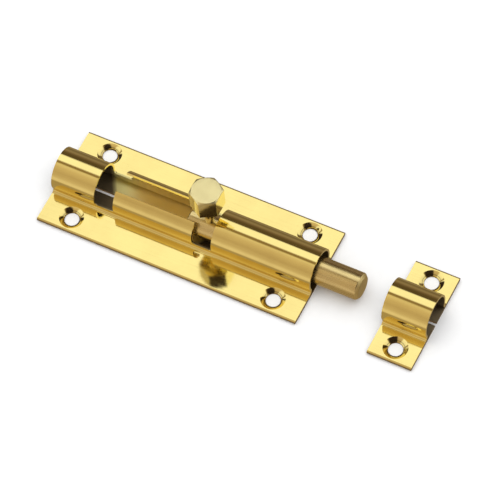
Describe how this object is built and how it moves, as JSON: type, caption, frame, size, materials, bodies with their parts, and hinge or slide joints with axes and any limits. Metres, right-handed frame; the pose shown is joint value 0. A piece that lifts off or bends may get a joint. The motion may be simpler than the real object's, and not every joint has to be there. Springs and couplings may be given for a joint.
{
  "type": "barrel bolt",
  "caption": "Straight brass barrel bolt: a round rod slides in a slotted barrel on a screw-down plate, worked by a hexagonal knob, with a separate matching keep.",
  "frame": {"origin": "middle of the footprint of the bolt and its keep, on the fixing face", "axes": "+X along the rod towards the keep, +Y across the plate, +Z out of the door face"},
  "size_m": [0.1092, 0.03, 0.0227],
  "materials": {
    "polished_brass": "polished and lacquered",
    "turned_brass": "satin, as turned",
    "knob_brass": "bright, with fine machining marks"
  },
  "bodies": {
    "plates": {"bolt_body": "polished_brass", "keep": "polished_brass"},
    "rod": {"rod": "turned_brass"},
    "knob": {"knob": "knob_brass"}
  },
  "joints": [
    {"name": "rod_slide", "type": "slide", "parent": "plates", "child": "rod", "axis": [1, 0, 0], "range_m": [-0.029, 0]},
    {"name": "knob_turn", "type": "hinge", "parent": "rod", "child": "knob", "pos_m": [-0.01018, 0, 0.00465], "axis": [1, 0, 0], "range_deg": [-84, 84]}
  ]
}
